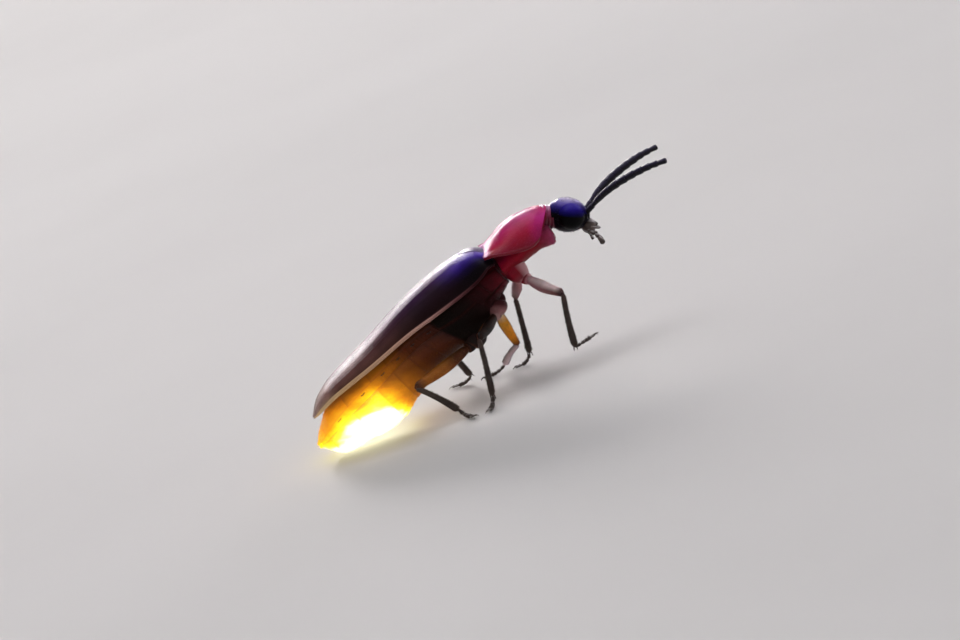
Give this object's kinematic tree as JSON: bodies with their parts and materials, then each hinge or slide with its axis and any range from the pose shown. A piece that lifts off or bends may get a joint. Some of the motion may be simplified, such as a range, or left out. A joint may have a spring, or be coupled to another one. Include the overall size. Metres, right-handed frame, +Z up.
{
  "type": "firefly",
  "caption": "Life-size firefly standing with its body pitched up on a glowing abdomen tip, pink pronotum, dark wing cases, forward-swept antennae and one foreleg raised.",
  "frame": {"origin": "on the floor, under the centre of the whole insect's bounding box", "axes": "+X forward along the floor towards the antennae, +Y to the insect's left, +Z up"},
  "size_m": [0.0196, 0.0086, 0.0077],
  "materials": {
    "head_shell": "glossy black shell with an indigo sheen",
    "eye": "polished black, finely faceted",
    "antenna": "dark, finely haired",
    "pronotum": "satin magenta pink shell",
    "prothorax_side": "satin crimson shell",
    "thorax": "satin near-black shell",
    "elytron": "punctured, finely haired dark shell with a violet sheen and pale edges",
    "abdomen": "satin amber plates",
    "lantern": "waxy cream plates, lit from within",
    "femur": "satin amber brown",
    "tibia": "dark brown, bristly"
  },
  "bodies": {
    "root": {"head": "head_shell", "eye_right": "eye", "eye_left": "eye", "mouthparts": "head_shell", "palp_right": "antenna", "palp_left": "antenna", "antenna_right": "antenna", "antenna_left": "antenna", "neck": "prothorax_side", "pronotum": "pronotum", "prosternum": "prothorax_side", "scutellum": "thorax", "elytron_right": "elytron", "elytron_left": "elytron", "mesothorax": "thorax", "metathorax": "thorax", "abdomen_1": "abdomen", "abdomen_2": "abdomen", "abdomen_3": "abdomen", "abdomen_4": "abdomen", "lantern_front": "lantern", "lantern_rear": "lantern", "abdomen_tip": "abdomen", "foreleg_right_coxa": "prothorax_side", "foreleg_right_femur": "femur", "foreleg_right_tibia": "tibia", "foreleg_right_tarsus": "tibia", "foreleg_left_coxa": "prothorax_side", "foreleg_left_femur": "femur", "foreleg_left_tibia": "tibia", "foreleg_left_tarsus": "tibia", "midleg_right_coxa": "thorax", "midleg_right_femur": "femur", "midleg_right_tibia": "tibia", "midleg_right_tarsus": "tibia", "midleg_left_coxa": "thorax", "midleg_left_femur": "femur", "midleg_left_tibia": "tibia", "midleg_left_tarsus": "tibia", "hindleg_right_coxa": "thorax", "hindleg_right_femur": "femur", "hindleg_right_tibia": "tibia", "hindleg_right_tarsus": "tibia", "hindleg_left_coxa": "thorax", "hindleg_left_femur": "femur", "hindleg_left_tibia": "tibia", "hindleg_left_tarsus": "tibia"}
  },
  "joints": []
}
